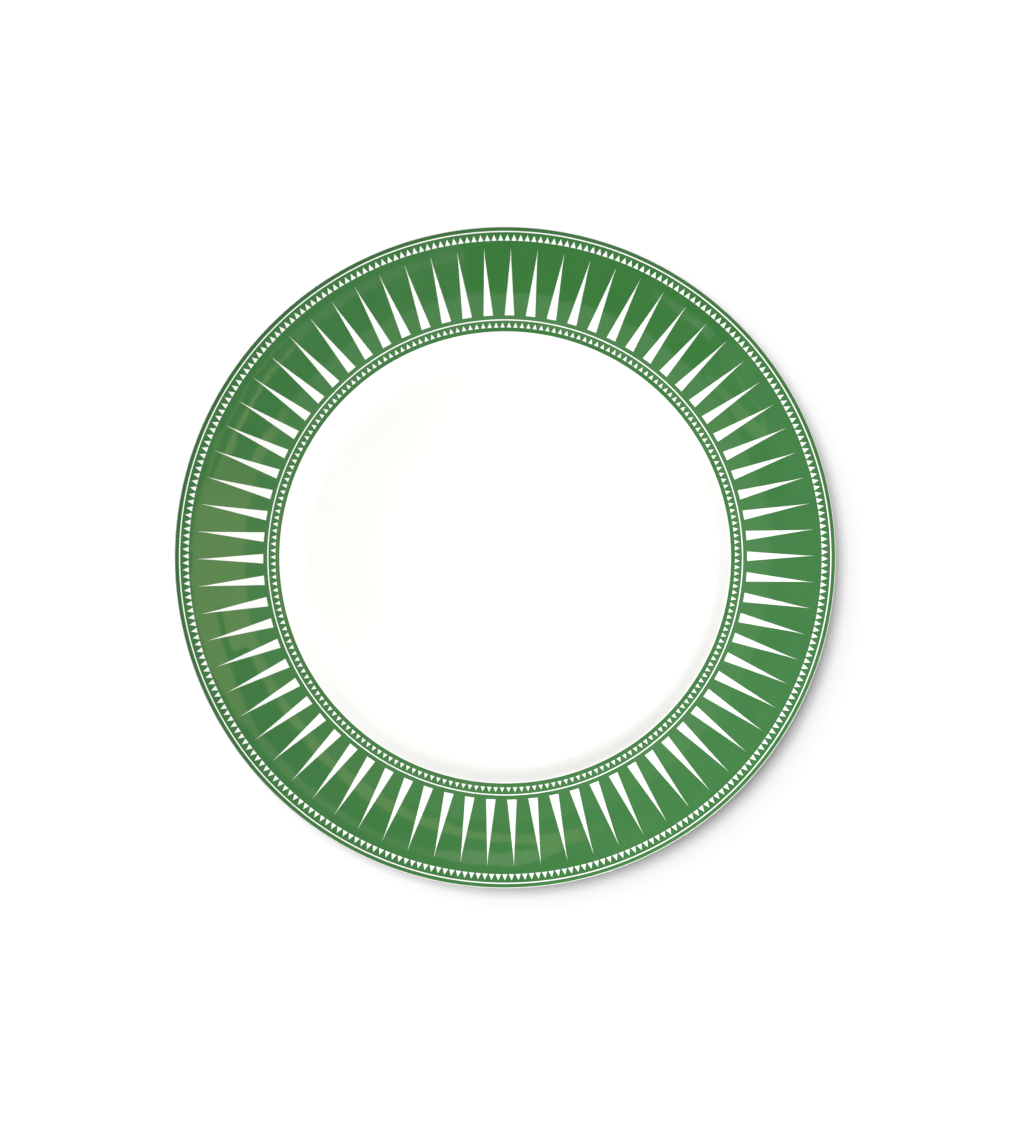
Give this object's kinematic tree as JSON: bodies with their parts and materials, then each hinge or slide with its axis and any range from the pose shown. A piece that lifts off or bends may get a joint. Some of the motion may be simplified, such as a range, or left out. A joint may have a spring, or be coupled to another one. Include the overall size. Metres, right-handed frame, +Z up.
{
  "type": "dinner plate",
  "caption": "Round rimmed china dinner plate with a shallow coved well, a foot ring, and a green printed rim left bare in radiating rays and small triangles.",
  "frame": {"origin": "centre of the foot ring, on the table it stands on", "axes": "+Z up along the plate's axis, out of the well; +X and +Y lie in the table, and the plate is turned, so only its print tells them apart"},
  "size_m": [0.27, 0.27, 0.0218],
  "materials": {
    "biscuit": "unglazed, ground smooth",
    "glaze": "clear gloss glaze over white china",
    "green_print": "glossy fired ceramic print"
  },
  "bodies": {
    "root": {"porcelain_body": "biscuit", "face_glaze": "glaze", "recess_glaze": "glaze", "lip_band_print": "green_print", "ray_band_print": "green_print", "well_border_print": "green_print"}
  },
  "joints": []
}
